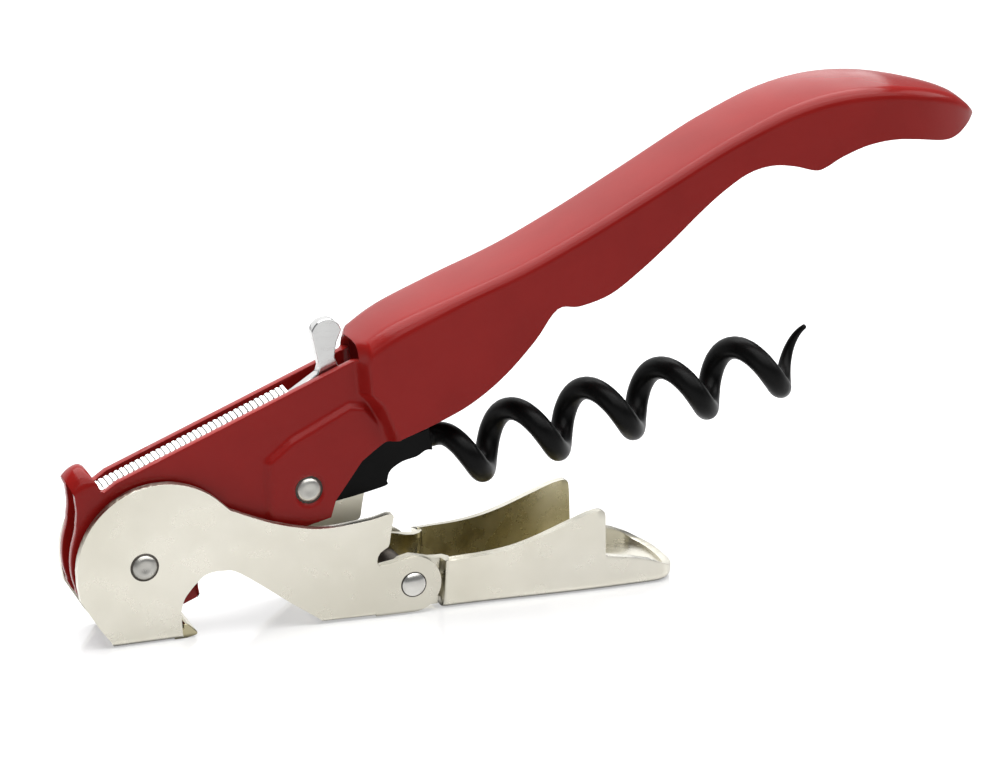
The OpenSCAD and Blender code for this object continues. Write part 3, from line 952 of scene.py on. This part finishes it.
def rivet(name, centre, body, node, crown, surface, gap):
    """Shank with a head of this crown at each end, over a dark ring of painted shadow that is wider by the
    gap; the middle of the shank gets painted shadow too.
    """
    reach = pin_reach(node) - HEAD_HEIGHT
    bm = bmesh.new()
    profile = [(r, reach + y) for r, y in crown + [(HEAD, 0.0), (HEAD, -HEAD_EDGE), (SHANK, -HEAD_EDGE)]]
    turned(bm, centre, profile + [(r, -y) for r, y in profile[::-1]])
    # The middle of the shank, between the plates, gets the painted shadow
    for face in bm.faces:
        if abs(face.calc_center_median().y) < reach - 0.2:
            face.material_index = 1
    finish_piece(name, bm, [surface, seat_shadow], body, [node])
    # A dark ring of painted shadow round each head, wider than the head by the gap
    bm = bmesh.new()
    for side in (-1, 1):
        y = side * reach
        low, high = y - side * SEAT_DEPTH, y + side * SEAT_RISE
        turned(bm, centre, [(SHANK, low), (SHANK, high), (HEAD + gap, high), (HEAD + gap + 0.05, low)])
    finish_piece(name + "_shadow_rings", bm, [seat_shadow], body, [])


# ---------------------------------------------------------------- stage

CAMERA_AZIMUTH = math.radians(-20.5)
CAMERA_ELEVATION = math.radians(17.5)
CAMERA_DISTANCE = 450
CAMERA_LENS = 136.08
LOOK_AT = (45.405, 0, 16.513)
FLOOR_SHADE = 0.45
FLOOR_GLOSS = 0.07
FLOOR_GLOW = 0.42
WORLD_STRENGTH = 0.26


def camera():
    """The photo's view: from the lever end, a little above."""
    data = bpy.data.cameras.new("camera")
    data.lens = CAMERA_LENS
    data.sensor_width = 36
    data.clip_start, data.clip_end = 0.01, 20
    obj = bpy.data.objects.new("camera", data)
    back = Vector((math.sin(CAMERA_AZIMUTH) * math.cos(CAMERA_ELEVATION),
                   -math.cos(CAMERA_AZIMUTH) * math.cos(CAMERA_ELEVATION), math.sin(CAMERA_ELEVATION)))
    obj.location = place(*LOOK_AT) + back * CAMERA_DISTANCE * MM
    obj.rotation_mode = "QUATERNION"
    obj.rotation_quaternion = (-back).to_track_quat("-Z", "Y")
    bpy.context.scene.collection.objects.link(obj)
    bpy.context.scene.camera = obj


def floor():
    """Plain pale floor with a faint gloss."""
    bm = bmesh.new()
    bmesh.ops.create_grid(bm, x_segments=2, y_segments=2, size=3)
    mesh = bpy.data.meshes.new("floor")
    bm.to_mesh(mesh)
    bm.free()
    obj = bpy.data.objects.new("floor", mesh)
    bpy.context.scene.collection.objects.link(obj)
    material, _, _, shader = node_tree("pale_floor")
    shader.inputs["Base Color"].default_value = (FLOOR_SHADE, FLOOR_SHADE, FLOOR_SHADE, 1)
    shader.inputs["Roughness"].default_value = FLOOR_GLOSS
    shader.inputs["Specular IOR Level"].default_value = 0.5
    shader.inputs["Emission Color"].default_value = (1, 1, 1, 1)
    shader.inputs["Emission Strength"].default_value = FLOOR_GLOW
    mesh.materials.append(material)


def area_light(name, location, target, size, power, reflection_only=False):
    """A white panel in metres and watts, turned to its target."""
    data = bpy.data.lights.new(name, "AREA")
    data.shape = "RECTANGLE"
    data.size, data.size_y = size
    data.energy = power
    obj = bpy.data.objects.new(name, data)
    obj.location = location
    obj.rotation_mode = "QUATERNION"
    obj.rotation_quaternion = (Vector(target) - Vector(location)).to_track_quat("-Z", "Y")
    obj.visible_diffuse = not reflection_only
    bpy.context.scene.collection.objects.link(obj)


def lights():
    """Soft panels over and behind the part, and two that only show in glossy surfaces."""
    world = bpy.data.worlds.new("world")
    bpy.context.scene.world = world
    world.use_nodes = True
    background = world.node_tree.nodes["Background"]
    background.inputs["Color"].default_value = (0.95, 0.97, 1.0, 1)
    background.inputs["Strength"].default_value = WORLD_STRENGTH
    area_light("front_top_reflection", (0.25, -0.75, 0.8), (0, 0, 0.03), (1.5, 0.7), 9.0, True)
    area_light("tail_reflection", (1.15, -0.1, 0.72), (0, 0, 0.03), (0.7, 0.6), 4.2, True)
    area_light("top_soft", (0.05, 0.15, 0.87), (0, 0.15, 0), (1.3, 1.1), 23)
    area_light("back_panel", (-0.30, 0.9, 0.45), (-0.30, 0, 0.03), (1.80, 0.8), 5.4)


handle()
blade()
blade_edge()
blade_spacers()
worm_coil()
worm_root()
lever_first()
opener_lip()
lever_second()
rivet("lever_rivet", (0, 0), "handle", "lever_pin", PEENED, peened, 0.2)
rivet("worm_rivet", worm_pin, "handle", "worm_pin", PEENED, peened, 0.2)
rivet("hinge_rivet", hinge_pin, "lever_first", "hinge_pin", DOMED, polished, 0.07)
camera()
floor()
lights()
bpy.context.scene.view_settings.view_transform = "Standard"
